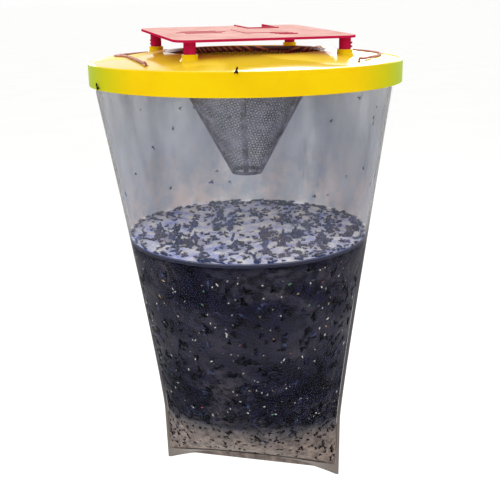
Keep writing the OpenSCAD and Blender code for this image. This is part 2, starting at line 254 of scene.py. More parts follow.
def yellowPolypropylene():
    # injection-moulded polypropylene: even gloss with a faint flow mottle, dust and fly spots; the dome's
    # upward faces are painted paler than the skirt as painted light, and two sides of the skirt are tinted
    # green as painted grazing light
    material, tree, shader, coords = startMaterial("injectionMouldedYellowPolypropylene",
                                                   Roughness=0.3, IOR=1.49)
    normal = addNode(tree, "ShaderNodeNewGeometry").outputs["Normal"]
    up = addNode(tree, "ShaderNodeSeparateXYZ", links={0: normal}).outputs["Z"]
    # painted grazing light: skirt faces turned towards the left and right of the view are tinted green
    turn = math.radians(cameraSet["turn"])
    toSide = (math.cos(turn), math.sin(turn), 0)
    across = addNode(tree, "ShaderNodeVectorMath", {"operation": "DOT_PRODUCT", 1: toSide}, {0: normal})
    sides = addNode(tree, "ShaderNodeMath", {"operation": "ABSOLUTE"},
                    {0: across.outputs["Value"]}).outputs[0]
    flow = addNode(tree, "ShaderNodeTexNoise", {"Scale": 22.0, "Detail": 5.0, "Roughness": 0.6},
                   {"Vector": coords})
    skirt = addRamp(tree, flow.outputs["Fac"], [(0.35, hexLinear(lidSet["shade"])),
                                                (0.55, hexLinear(lidSet["yellow"]))])
    onSkirt = addNode(tree, "ShaderNodeMath", {"operation": "GREATER_THAN", 1: lidSet["skirtFrom"]},
                      {0: fromAxis(tree, coords)})
    grazingSides = addNode(tree, "ShaderNodeMath", {"operation": "MULTIPLY"}, {0: sides, 1: onSkirt.outputs[0]})
    grazingTintMask = addRamp(tree, grazingSides.outputs[0], [(0.62, grey(0)), (0.92, grey(1))])
    grazingTinted = addNode(tree, "ShaderNodeMixRGB", {"Color2": hexLinear(lidSet["green"])},
                   {"Fac": grazingTintMask, "Color1": skirt})
    # painted light: faces turned up take the paler dome colour, the rest keeps the skirt colour
    topMask = addRamp(tree, up, [(0.5, grey(0)), (0.85, grey(1))])
    base = addNode(tree, "ShaderNodeMixRGB", {"Color2": hexLinear(lidSet["dome"])},
                   {"Fac": topMask, "Color1": grazingTinted.outputs[0]})
    spots = addNode(tree, "ShaderNodeTexVoronoi", {"Scale": 190.0, "Randomness": 1.0}, {"Vector": coords})
    spotMask = addRamp(tree, spots.outputs["Distance"], [(0.05, grey(1)), (0.11, grey(0))])
    dustAndSheen = addNode(tree, "ShaderNodeTexNoise", {"Scale": 60.0, "Detail": 8.0, "Roughness": 0.7},
                   {"Vector": coords})
    dustMask = addRamp(tree, dustAndSheen.outputs["Fac"], [(0.52, grey(0)), (0.75, grey(0.55))])
    dirtMask = addNode(tree, "ShaderNodeMath", {"operation": "MULTIPLY"}, {0: spotMask, 1: dustMask})
    painted = addNode(tree, "ShaderNodeMixRGB", {"Color2": hexLinear(lidSet["dirt"])},
                      {"Fac": dirtMask.outputs[0], "Color1": base.outputs[0]})
    tree.links.new(painted.outputs[0], shader.inputs["Base Color"])
    # rain has washed some of the dome clean, and those parts shine
    washed = addNode(tree, "ShaderNodeTexNoise", {"Scale": 17.0, "Detail": 2.0, "Roughness": 0.4},
                     {"Vector": coords})
    rough = addRamp(tree, washed.outputs["Fac"], [(0.46, grey(0.1)), (0.54, grey(0.5))])
    onTop = addNode(tree, "ShaderNodeMixRGB", {"Color1": grey(0.4)}, {"Fac": topMask, "Color2": rough})
    tree.links.new(onTop.outputs[0], shader.inputs["Roughness"])
    shine = addNode(tree, "ShaderNodeMapRange", {"To Min": 0.02, "To Max": 0.5}, {"Value": topMask})
    tree.links.new(shine.outputs[0], shader.inputs["Specular IOR Level"])
    fine = addNode(tree, "ShaderNodeTexNoise", {"Scale": 900.0, "Detail": 3.0}, {"Vector": coords})
    addBump(tree, shader, fine.outputs["Fac"], 0.1, 0.0001)
    return material


def crimsonPolypropylene():
    # the same plastic in crimson: dull, and bleached by sunlight to a blotchy pink on top; the sides and legs
    # keep a darker crimson, which is unfaded plastic and also painted shade
    material, tree, shader, coords = startMaterial("injectionMouldedCrimsonPolypropylene",
                                                   Roughness=0.34, IOR=1.49, Specular_IOR_Level=0.0)
    normal = addNode(tree, "ShaderNodeNewGeometry").outputs["Normal"]
    up = addNode(tree, "ShaderNodeSeparateXYZ", links={0: normal})
    topMask = addRamp(tree, up.outputs["Z"], [(0.55, grey(0)), (0.9, grey(1))])
    blotch = addNode(tree, "ShaderNodeTexNoise", {"Scale": 70.0, "Detail": 6.0, "Roughness": 0.65},
                     {"Vector": coords})
    faded = addRamp(tree, blotch.outputs["Fac"], [(0.3, hexLinear(roofSet["dark"])),
                                                  (0.5, hexLinear(roofSet["faded"])),
                                                  (0.8, hexLinear(roofSet["worn"]))])
    # unfaded plastic and painted shade: faces not turned up take the darker crimson
    mixed = addNode(tree, "ShaderNodeMixRGB", {"Color1": hexLinear(roofSet["side"])},
                    {"Fac": topMask, "Color2": faded})
    tree.links.new(mixed.outputs[0], shader.inputs["Base Color"])
    rough = addNode(tree, "ShaderNodeMapRange", {"To Min": 0.5, "To Max": 0.75},
                    {"Value": blotch.outputs["Fac"]})
    tree.links.new(rough.outputs[0], shader.inputs["Roughness"])
    fine = addNode(tree, "ShaderNodeTexNoise", {"Scale": 700.0, "Detail": 3.0}, {"Vector": coords})
    addBump(tree, shader, fine.outputs["Fac"], 0.15, 0.0001)
    return material


def ringPolypropylene():
    # dark crimson polypropylene with a dull moulded skin and wear rubbed in; the dark crimson itself is
    # painted shade under the lid, tinted by the red light through the roof
    material, tree, shader, coords = startMaterial("shadedDarkCrimsonPolypropylene",
                                                   Roughness=0.55, IOR=1.49, Specular_IOR_Level=0.2)
    wear = addNode(tree, "ShaderNodeTexNoise", {"Scale": 150.0, "Detail": 5.0, "Roughness": 0.6},
                   {"Vector": coords})
    colour = addRamp(tree, wear.outputs["Fac"], [(0.4, hexLinear(ringSet["shadeCrimson"])),
                                                 (0.7, hexLinear(ringSet["worn"]))])
    tree.links.new(colour, shader.inputs["Base Color"])
    addBump(tree, shader, wear.outputs["Fac"], 0.15, 0.0002)
    return material


yellow = yellowPolypropylene()
for part in ("lid", "pouch_ring"):
    paintNode(part, yellow)
paintNode("roof_plate", crimsonPolypropylene())
paintNode("funnel_ring", ringPolypropylene())
print("moulded parts painted")


# The funnel is a flat net, cut as a sector of a ring and rolled into a cone; turns are in degrees

netSet = {"pitch": 1.8 * mm, "thread": 0.58 * mm, "topR": 49.2 * mm, "topZ": 3.1 * mm, "exitR": 9.3 * mm,
          "weaveTurn": 24, "seamTurn": 70, "colour": "#231F2B", "sheen": "#8E8AA2", "roofTint": "#4E1710",
          "roofTintBright": "#C25E2A"}


def wovenNet():
    # black polyethylene net: dull threads flecked pale with dust and painted glints; round the entry they are
    # painted in red-brown and orange bands as painted light through the red roof
    material, tree, shader, coords = startMaterial("extrudedPolyethyleneNet", Roughness=0.5, IOR=1.5)
    # dust and painted glints: where the noise is high the dark threads take the pale sheen colour
    dustAndSheen = addNode(tree, "ShaderNodeTexNoise", {"Scale": 140.0, "Detail": 5.0, "Roughness": 0.7},
                   {"Vector": coords})
    colour = addRamp(tree, dustAndSheen.outputs["Fac"], [(0.44, hexLinear(netSet["colour"])),
                                                 (0.7, hexLinear(netSet["sheen"]))])
    height = addNode(tree, "ShaderNodeSeparateXYZ", links={0: coords}).outputs["Z"]
    # painted light: towards the entry the threads take red-brown and orange bands for the light through the
    # red roof
    stainAndRoofLight = addNode(tree, "ShaderNodeMapRange", {"From Min": -0.012, "From Max": -0.002}, {"Value": height})
    bands = addNode(tree, "ShaderNodeTexWave",
                    {"Scale": 150.0, "Distortion": 1.5, "bands_direction": "DIAGONAL"},
                    {"Vector": coords})
    roofTint = addRamp(tree, bands.outputs["Fac"], [(0.55, hexLinear(netSet["roofTint"])),
                                                (0.85, hexLinear(netSet["roofTintBright"]))])
    roofTinted = addNode(tree, "ShaderNodeMixRGB",
                      links={"Fac": stainAndRoofLight.outputs[0], "Color1": colour, "Color2": roofTint})
    tree.links.new(roofTinted.outputs[0], shader.inputs["Base Color"])
    fibre = addNode(tree, "ShaderNodeTexNoise", {"Scale": 2500.0, "Detail": 2.0}, {"Vector": coords})
    addBump(tree, shader, fibre.outputs["Fac"], 0.3, 0.00005)
    return material


net = wovenNet()


def makeNet():
    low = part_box("net_funnel")[0]
    slope = math.atan2(netSet["topR"] - netSet["exitR"], netSet["topZ"] - low[2])
    inner, outer = netSet["exitR"] / math.sin(slope), netSet["topR"] / math.sin(slope)
    halfTurn = math.pi * math.sin(slope)
    cells = int(2 * outer / netSet["pitch"]) + 2
    weave = Matrix.Rotation(math.radians(netSet["weaveTurn"]), 3, "Z")
    bm = bmesh.new()
    bmesh.ops.create_grid(bm, x_segments=cells, y_segments=cells, size=cells * netSet["pitch"] / 2)
    bmesh.ops.rotate(bm, verts=bm.verts, cent=(0, 0, 0), matrix=weave)

    def inSector(v):
        return inner < v.co.xy.length < outer and abs(math.atan2(v.co.y, v.co.x)) < halfTurn

    outside = [f for f in bm.faces if not any(inSector(v) for v in f.verts)]
    bmesh.ops.delete(bm, geom=outside, context="FACES")
    for v in bm.verts:
        # the cut edge lies on the sector's outline
        angle = max(-halfTurn, min(halfTurn, math.atan2(v.co.y, v.co.x)))
        reach = max(inner, min(outer, v.co.xy.length))
        turned = angle / math.sin(slope) + math.radians(netSet["seamTurn"])
        r = reach * math.sin(slope)
        v.co = (r * math.cos(turned), r * math.sin(turned), low[2] + (reach - inner) * math.cos(slope))
    bmesh.ops.remove_doubles(bm, verts=bm.verts, dist=0.3 * mm)
    bmesh.ops.recalc_face_normals(bm, faces=bm.faces)
    piece = finishPiece(bm, "funnelNet", net, ["net_funnel"])
    threads = piece.modifiers.new("threads", "WIREFRAME")
    threads.thickness = netSet["thread"]
    threads.use_even_offset = False
    threads.use_boundary = True
    threads.offset = 0
    return slope


netSlope = makeNet()
hemSet = {"width": 2.4 * mm, "film": 0.4 * mm, "cuffR": 48.5 * mm, "cuffFoot": 2 * mm, "cuffTop": 4.6 * mm,
          "sideTurn": 250, "sideHalf": 1.6 * mm, "sideTop": 2.5 * mm}


def makeNetHems():
    # a folded band closes the net's side and its exit, and a cuff lines the entry's edge
    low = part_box("net_funnel")[0]
    exitFoot = Vector((netSet["exitR"], 0, low[2]))
    exitTop = exitFoot + Vector((math.sin(netSlope), 0, math.cos(netSlope))) * hemSet["width"]
    cuff = [(hemSet["cuffR"], 0, hemSet["cuffFoot"]), (hemSet["cuffR"], 0, hemSet["cuffTop"])]
    bm = bmesh.new()
    for foot, top in ((exitFoot, exitTop), cuff):
        start, end = bm.verts.new(foot), bm.verts.new(top)
        edge = bm.edges.new((start, end))
        bmesh.ops.spin(bm, geom=[start, end, edge], cent=(0, 0, 0), axis=(0, 0, 1), angle=2 * math.pi,
                       steps=96, use_merge=True)
    bmesh.ops.remove_doubles(bm, verts=bm.verts, dist=0.01 * mm)
    side = math.radians(hemSet["sideTurn"])
    across = Vector((-math.sin(side), math.cos(side), 0)) * hemSet["sideHalf"]
    outward = Vector((math.cos(side), math.sin(side), 0))
    ends = [outward * (netSet["exitR"] + 0.3 * mm) + Vector((0, 0, low[2])),
            outward * (netSet["topR"] + 0.1 * mm) + Vector((0, 0, hemSet["sideTop"]))]
    corners = [ends[0] - across, ends[0] + across, ends[1] + across, ends[1] - across]
    bm.faces.new([bm.verts.new(c) for c in corners])
    bmesh.ops.recalc_face_normals(bm, faces=bm.faces)
    piece = finishPiece(bm, "funnelHems", net)
    wall = piece.modifiers.new("wall", "SOLIDIFY")
    wall.thickness = hemSet["film"]
    wall.offset = 0


makeNetHems()
print("net rolled")


# The filled pouch has its shape at a share t of its depth and an angle round it; sizes in millimetres

pouchSet = {"mouthR": 90.8, "mouthZ": -13.4, "seamHalf": 60.0, "weld": 2.0, "depth": 267.6, "seamRise": 10.0,
            "taperUntil": 0.85, "taperPower": 1.16, "roundUntil": 0.2, "flatPower": 0.55, "turn": -30.0,
            "twist": 17.0, "film": 0.3, "columns": 64, "rows": 110, "aboveMouth": 0.03, "crease": 0.25}


def halfWidth(t):
    left = min(1, max(0, 1 - t / pouchSet["taperUntil"]))
    return pouchSet["seamHalf"] + (pouchSet["mouthR"] - pouchSet["seamHalf"]) * left ** pouchSet["taperPower"]


def wallPoint(t, angle, inset=0.0):
    # millimetres, before the twist; angles 0 and pi are on the side seams
    u = max(0, (t - pouchSet["roundUntil"]) / (1 - pouchSet["roundUntil"]))
    flat = max(0, 1 - u * u) ** pouchSet["flatPower"]
    a = halfWidth(t) - inset
    b = max(0, halfWidth(t) * flat - inset)
    x = a * math.cos(angle)
    s = math.sin(angle)
    y = math.copysign(b * abs(s) ** (1 + 0.7 * max(0, t) ** 3), s)
    rise = pouchSet["seamRise"] * max(0, t) ** 6 * max(0, 1 - (x / pouchSet["seamHalf"]) ** 2)
    return Vector((x, y, pouchSet["mouthZ"] - pouchSet["depth"] * t + rise))


def twisted(point, t):
    # metres, turned with the pouch, which twists from its mouth down to its bottom seam
    turn = pouchSet["turn"] + pouchSet["twist"] * (1 - max(0, t))
    return Matrix.Rotation(math.radians(turn), 3, "Z") @ point * mm


def clearFilm(name, alphaHead, alphaWet, tint, pale):
    # low-density polyethylene film: grey and hazy above the liquid, clear where it is wet; the back film's
    # much higher grey opacity is painted shade behind the contents
    material, tree, shader, coords = startMaterial(name, Roughness=0.2, IOR=1.5)
    height = addNode(tree, "ShaderNodeSeparateXYZ", links={0: coords}).outputs["Z"]
    wet = addNode(tree, "ShaderNodeMapRange", {"From Min": -0.112, "From Max": -0.106, "To Min": alphaWet,
                                               "To Max": alphaHead}, {"Value": height})
    stretched = addNode(tree, "ShaderNodeMapping", {"Scale": (1.0, 1.0, 0.4)}, {"Vector": coords})
    haze = addNode(tree, "ShaderNodeTexNoise", {"Scale": 26.0, "Detail": 7.0, "Roughness": 0.6},
                   {"Vector": stretched.outputs[0]})
    spread = addNode(tree, "ShaderNodeMapRange", {"From Min": 0.3, "From Max": 0.7, "To Min": 0.65,
                                                  "To Max": 1.35}, {"Value": haze.outputs["Fac"]})
    opacity = addNode(tree, "ShaderNodeMath", {"operation": "MULTIPLY", "use_clamp": True},
                      {0: wet.outputs[0], 1: spread.outputs[0]})
    tree.links.new(opacity.outputs[0], shader.inputs["Alpha"])
    cloud = addNode(tree, "ShaderNodeTexNoise", {"Scale": 17.0, "Detail": 5.0, "Roughness": 0.6},
                    {"Vector": stretched.outputs[0]})
    clean = addRamp(tree, cloud.outputs["Fac"], [(0.36, hexLinear(tint)), (0.64, hexLinear(pale))])
    splash = addNode(tree, "ShaderNodeTexNoise", {"Scale": 60.0, "Detail": 7.0, "Roughness": 0.7},
                     {"Vector": coords})
    splashMask = addRamp(tree, splash.outputs["Fac"], [(0.42, grey(0)), (0.6, grey(1))])
    low = addNode(tree, "ShaderNodeMapRange",
                  {"From Min": -0.104, "From Max": -0.058, "To Min": 1.0, "To Max": 0.0},
                  {"Value": height})
    residue = addNode(tree, "ShaderNodeMath", {"operation": "MULTIPLY"}, {0: low.outputs[0], 1: splashMask})
    colour = addNode(tree, "ShaderNodeMixRGB", {"Color2": hexLinear("#F2E4E6")},
                     {"Fac": residue.outputs[0], "Color1": clean})
    tree.links.new(colour.outputs[0], shader.inputs["Base Color"])
    folds = addNode(tree, "ShaderNodeTexNoise",
                    {"Scale": 30.0, "Detail": 4.0, "Roughness": 0.5, "Distortion": 0.6},
                    {"Vector": stretched.outputs[0]})
    addBump(tree, shader, folds.outputs["Fac"], 0.3, 0.003)
    return material


def weldedFilm():
    # the welded strips are two films thick, crinkled and cloudy, and stained by what they held
    material, tree, shader, coords = startMaterial("weldedPolyethyleneStrip", Roughness=0.4, IOR=1.5)
    height = addNode(tree, "ShaderNodeSeparateXYZ", links={0: coords}).outputs["Z"]
    place = addNode(tree, "ShaderNodeMapRange", {"From Min": -0.29, "From Max": -0.01}, {"Value": height})
    tone = addRamp(tree, place.outputs[0], [(0.0, hexLinear("#786E68")), (0.15, hexLinear("#6A5E56")),
                                            (0.25, hexLinear("#4A464C")), (0.6, hexLinear("#55525A")),
                                            (0.66, hexLinear("#A5A6A8"))])
    grain = addNode(tree, "ShaderNodeTexNoise", {"Scale": 150.0, "Detail": 5.0, "Roughness": 0.7},
                    {"Vector": coords})
    stainAndRoofLight = addNode(tree, "ShaderNodeMapRange", {"From Min": 0.45, "From Max": 0.7, "To Max": 0.5},
                    {"Value": grain.outputs["Fac"]})
    colour = addNode(tree, "ShaderNodeMixRGB", {"Color2": hexLinear("#6E5A4C")},
                     {"Fac": stainAndRoofLight.outputs[0], "Color1": tone})
    tree.links.new(colour.outputs[0], shader.inputs["Base Color"])
    opacity = addRamp(tree, place.outputs[0], [(0.2, grey(0.92)), (0.62, grey(0.8)),
                                               (0.68, grey(0.42))])
    tree.links.new(opacity, shader.inputs["Alpha"])
    addBump(tree, shader, grain.outputs["Fac"], 0.5, 0.001)
    return material


weld = weldedFilm()


def makeFilm(name, node, side, material):
    # a grid is laid on the wall: its first and last columns are the welded side strips
    columns, rows = pouchSet["columns"], pouchSet["rows"]
    reachT = 1 + pouchSet["aboveMouth"] + pouchSet["weld"] / pouchSet["depth"]
    bm = bmesh.new()
    bmesh.ops.create_grid(bm, x_segments=columns, y_segments=rows, size=1)
    welded = []
    for face in bm.faces:
        middle = face.calc_center_median()
        column, row = (middle.x + 1) / 2 * columns, (middle.y + 1) / 2 * rows
        strip = 2 + 1.6 * max(0, row / rows - 0.8) / 0.2
        welded.append(min(column, columns - column) < strip or row > rows - 3)
    for v in bm.verts:
        across = (v.co.x + 1) / 2 * columns
        down = (v.co.y + 1) / 2
        t = down * reachT - pouchSet["aboveMouth"]
        angle = math.pi * min(1, max(0, (across - 2) / (columns - 4)))
        p = wallPoint(t, angle, pouchSet["film"] / 2)
        strip = min(1, max(0, 2 - across, across - (columns - 2)) / 2)
        reach = pouchSet["weld"] * min(1, max(0, t * 50))
        p.x += math.copysign(strip * reach, math.cos(angle))
        crease = noise.noise(Vector((p.x * 0.03, p.y * 0.03, p.z * 0.012 + side))) * pouchSet["crease"]
        bulge = p.y + crease * math.sin(angle) * min(1, max(0, t * 12))
        p.y = side * max(pouchSet["film"] / 2, bulge)
        v.co = twisted(p, t)
    for face, isWeld in zip(list(bm.faces), welded):
        face.material_index = 1 if isWeld else 0
    bmesh.ops.recalc_face_normals(bm, faces=bm.faces)
    piece = finishPiece(bm, name, material, [node])
    piece.data.materials.append(weld)
    wall = piece.modifiers.new("wall", "SOLIDIFY")
    wall.thickness = pouchSet["film"] * mm
    wall.offset = 0


makeFilm("frontFilm", "front_film", -1,
         clearFilm("clearPolyethyleneFilmFront", 0.055, 0.004, "#A2ACBE", "#D2D8E6"))
# painted shade: the back film is far greyer and more opaque than the front, a dark sheet behind the net and
# the froth
makeFilm("backFilm", "back_film", 1,
         clearFilm("shadedPolyethyleneFilmBack", 0.72, 0.02, "#A8B4CC", "#E0E8F8"))
print("film welded")


def depthShare(z):
    return (pouchSet["mouthZ"] - z) / pouchSet["depth"]


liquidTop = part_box("bait_liquid")[1][2] / mm
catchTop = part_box("floating_catch")[1][2] / mm
sludgeShare = 0.84
catchSet = {"wetRim": 1.6, "rimFade": 0.8, "rimGap": 0.6, "grid": 110, "below": 0.8, "deepest": -1.2,
            "lump": 0.9, "pit": 0.35, "intoLiquid": 0.2}


def cloudyBait():
    # fermented bait water against the film: nearly black, navy where it is thick, with grey-brown clouds
    material, tree, shader, coords = startMaterial("cloudyBaitLiquid", Roughness=0.45, IOR=1.34,
                                                   Specular_IOR_Level=0.03)
    flat = addNode(tree, "ShaderNodeMapping", {"Scale": (0.8, 0.8, 1.5)}, {"Vector": coords})
    cloud = addNode(tree, "ShaderNodeTexNoise",
                    {"Scale": 24.0, "Detail": 6.0, "Roughness": 0.6, "Distortion": 0.8},
                    {"Vector": flat.outputs[0]})
    clouds = addRamp(tree, cloud.outputs["Fac"], [(0.34, hexLinear("#080816")), (0.47, hexLinear("#16162B")),
                                                  (0.57, hexLinear("#2A2936")), (0.68, hexLinear("#403C44"))])
    lumps = addNode(tree, "ShaderNodeTexNoise", {"Scale": 210.0, "Detail": 5.0, "Roughness": 0.65},
                    {"Vector": coords})
    lumpMask = addRamp(tree, lumps.outputs["Fac"], [(0.46, grey(0)), (0.56, grey(0.75))])
    colour = addNode(tree, "ShaderNodeMixRGB", {"Color2": hexLinear("#08080F")},
                     {"Fac": lumpMask, "Color1": clouds})
    height = addNode(tree, "ShaderNodeSeparateXYZ", links={0: coords}).outputs["Z"]
    depth = addNode(tree, "ShaderNodeMapRange", {"From Min": -0.24, "From Max": -0.11}, {"Value": height})
    band = addRamp(tree, depth.outputs[0], [(0.3, grey(0)), (0.55, grey(0.5)), (0.8, grey(0))])
    murk = addNode(tree, "ShaderNodeMath", {"operation": "MULTIPLY"}, {0: band, 1: cloud.outputs["Fac"]})
    milky = addNode(tree, "ShaderNodeMixRGB", {"Color2": hexLinear("#4C4A54")},
                    {"Fac": murk.outputs[0], "Color1": colour.outputs[0]})
    tree.links.new(milky.outputs[0], shader.inputs["Base Color"])
    return material


def baitFoam():
    # stale froth: pale lavender on top, matt and pitted with bubbles; its wet rim by the film is dark
    material, tree, shader, coords = startMaterial("driedBaitFroth", Roughness=0.7, IOR=1.33)
    tone = addNode(tree, "ShaderNodeTexNoise", {"Scale": 100.0, "Detail": 7.0, "Roughness": 0.65},
                   {"Vector": coords})
    pale = addRamp(tree, tone.outputs["Fac"], [(0.34, hexLinear("#8C98EC")), (0.44, hexLinear("#C0CAFF")),
                                               (0.6, hexLinear("#F0F3FF"))])
    normal = addNode(tree, "ShaderNodeNewGeometry").outputs["Normal"]
    up = addNode(tree, "ShaderNodeSeparateXYZ", links={0: normal})
    topMask = addRamp(tree, up.outputs["Z"], [(0.2, grey(0)), (0.5, grey(1))])
    rim = (halfWidth(depthShare(catchTop)) - catchSet["wetRim"]) * mm
    inside = addNode(tree, "ShaderNodeMapRange", {"From Min": rim, "From Max": rim + catchSet["rimFade"] * mm,
                                                  "To Min": 1, "To Max": 0},
                     {"Value": fromAxis(tree, coords)})
    bright = addNode(tree, "ShaderNodeMath", {"operation": "MULTIPLY"}, {0: topMask, 1: inside.outputs[0]})
    colour = addNode(tree, "ShaderNodeMixRGB", {"Color1": hexLinear("#22243A")},
                     {"Fac": bright.outputs[0], "Color2": pale})
    tree.links.new(colour.outputs[0], shader.inputs["Base Color"])
    bubbles = addNode(tree, "ShaderNodeTexVoronoi", {"Scale": 520.0}, {"Vector": coords})
    addBump(tree, shader, bubbles.outputs["Distance"], 0.6, 0.0008)
    return material


def brownSludge():
    # settled wings and husks: tan and brown, wet, grainy, darker and bluer where it meets the liquid
    material, tree, shader, coords = startMaterial("settledSludge", Roughness=0.5, IOR=1.36)
    grain = addNode(tree, "ShaderNodeTexNoise", {"Scale": 170.0, "Detail": 8.0, "Roughness": 0.75},
                    {"Vector": coords})
    settled = addRamp(tree, grain.outputs["Fac"], [(0.34, hexLinear("#33292A")), (0.46, hexLinear("#64564F")),
                                                   (0.6, hexLinear("#86776D")), (0.8, hexLinear("#B09E8E"))])
    mixed = addRamp(tree, grain.outputs["Fac"], [(0.42, hexLinear("#0E0E18")), (0.6, hexLinear("#33323F")),
                                                 (0.72, hexLinear("#6B625E"))])
    height = addNode(tree, "ShaderNodeSeparateXYZ", links={0: coords}).outputs["Z"]
    waves = addNode(tree, "ShaderNodeTexNoise", {"Scale": 40.0, "Detail": 4.0}, {"Vector": coords})
    shift = addNode(tree, "ShaderNodeMath", {"operation": "MULTIPLY_ADD", 1: 0.03, 2: -0.015},
                    {0: waves.outputs["Fac"]})
    place = addNode(tree, "ShaderNodeMath", {"operation": "ADD"}, {0: height, 1: shift.outputs[0]})
    layer = addNode(tree, "ShaderNodeMapRange", {"From Min": -0.256, "From Max": -0.238},
                    {"Value": place.outputs[0]})
    colour = addNode(tree, "ShaderNodeMixRGB",
                     links={"Fac": layer.outputs[0], "Color1": settled, "Color2": mixed})
    tree.links.new(colour.outputs[0], shader.inputs["Base Color"])
    addBump(tree, shader, grain.outputs["Fac"], 0.5, 0.0008)
    return material


def insectShell():
    # fly bodies: dark blue-grey shell, slightly glossy
    material, tree, shader, coords = startMaterial("flyShell", Roughness=0.4, IOR=1.5, Specular_IOR_Level=0.3)
    tone = addNode(tree, "ShaderNodeTexNoise", {"Scale": 260.0, "Detail": 3.0}, {"Vector": coords})
    colour = addRamp(tree, tone.outputs["Fac"], [(0.35, hexLinear("#131B3C")), (0.65, hexLinear("#34447E"))])
    tree.links.new(colour, shader.inputs["Base Color"])
    hair = addNode(tree, "ShaderNodeTexNoise", {"Scale": 3000.0, "Detail": 2.0}, {"Vector": coords})
    addBump(tree, shader, hair.outputs["Fac"], 0.3, 0.0001)
    return material


def wetShell():
    # drowned bodies: soaked and dull, nearly black
    material, tree, shader, coords = startMaterial("soakedFlyShell", Roughness=0.6, IOR=1.4,
                                                   Specular_IOR_Level=0.03)
    tone = addNode(tree, "ShaderNodeTexNoise", {"Scale": 130.0, "Detail": 3.0}, {"Vector": coords})
    colour = addRamp(tree, tone.outputs["Fac"], [(0.4, hexLinear("#04040A")), (0.58, hexLinear("#0A0C18")),
                                                 (0.7, hexLinear("#3E4668"))])
    tree.links.new(colour, shader.inputs["Base Color"])
    return material


bait, froth, sludge, shell, soaked = cloudyBait(), baitFoam(), brownSludge(), insectShell(), wetShell()


def makeLayer(name, node, material, tFrom, tTo, rows):
    # a closed body that fills the film between two depths, tight in the corners by the seams
    bm = bmesh.new()
    ring = bmesh.ops.create_circle(bm, segments=96, radius=1, cap_ends=True)["verts"]
    angles = [math.atan2(v.co.y, v.co.x) for v in ring]

    def shape(verts, t):
        for v, angle in zip(verts, angles):
            inset = pouchSet["film"] + 0.06 + 0.54 * min(1, abs(math.sin(angle)) * 3)
            v.co = twisted(wallPoint(t, angle, inset), t)

    shape(ring, tFrom)
    cap = list(bm.faces)
    for i in range(1, rows + 1):
        made = bmesh.ops.extrude_face_region(bm, geom=cap)
        newVerts = [g for g in made["geom"] if isinstance(g, bmesh.types.BMVert)]
        newFaces = [g for g in made["geom"] if isinstance(g, bmesh.types.BMFace)]
        if i > 1:
            bmesh.ops.delete(bm, geom=[f for f in cap if f.is_valid], context="FACES")
        order = []
        for old in ring:
            links = [e.other_vert(old) for e in old.link_edges]
            order.append(next(v for v in links if v in newVerts))
        ring, cap = order, newFaces
        shape(ring, tFrom + (tTo - tFrom) * i / rows)
    bmesh.ops.recalc_face_normals(bm, faces=bm.faces)
    finishPiece(bm, name, material, [node])


makeLayer("baitLiquid", "bait_liquid", bait, depthShare(liquidTop), sludgeShare - 0.001, 24)
makeLayer("bottomSludge", "bottom_sludge", sludge, sludgeShare, 0.998, 12)


def makeFroth():
    # a turned disc, then lumpy: thin foam between heaps
    t = depthShare(catchTop)
    radius = (halfWidth(t) - pouchSet["film"] - catchSet["rimGap"]) * mm
    bm = bmesh.new()
    bmesh.ops.create_grid(bm, x_segments=catchSet["grid"], y_segments=catchSet["grid"], size=1)
    for v in bm.verts:
        # square grid to disc
        x, y = v.co.x, v.co.y
        v.co.x, v.co.y = x * math.sqrt(1 - y * y / 2), y * math.sqrt(1 - x * x / 2)
        lump = noise.fractal(Vector((v.co.x * 9, v.co.y * 9, 3.1)), 0.6, 2.1, 4)
        small = noise.noise(Vector((v.co.x * 34, v.co.y * 34, 0.7)))
        edge = min(1, (1 - v.co.xy.length) * 12)
        v.co.x, v.co.y = v.co.x * radius, v.co.y * radius
        rise = max(catchSet["deepest"], catchSet["lump"] * lump + catchSet["pit"] * small)
        v.co.z = (catchTop - catchSet["below"] + rise * max(0, edge)) * mm
    body = bmesh.ops.extrude_face_region(bm, geom=list(bm.faces))
    for g in body["geom"]:
        if isinstance(g, bmesh.types.BMVert):
            g.co.z = (liquidTop + catchSet["intoLiquid"]) * mm
    bmesh.ops.recalc_face_normals(bm, faces=bm.faces)
    finishPiece(bm, "frothRaft", froth, ["floating_catch"])


makeFroth()
print("pouch filled")


flySet = {"length": 6.0 * mm, "girth": 2.3 * mm, "seed": 7, "floating": 560, "washed": 170, "inHeap": 9,
          "drowned": 760, "settled": 620, "clinging": 26, "seamClear": 0.16}

# x, y and height in millimetres
heaps = [(-18, 6, 11), (-43, -28, 12), (-52, -22, 9), (-24, -44, 13), (8, -46, 6), (30, -52, 5),
         (-60, -10, 8), (2, -28, 6), (44, -28, 5), (60, -30, 7), (-8, -58, 6), (22, -30, 4)]


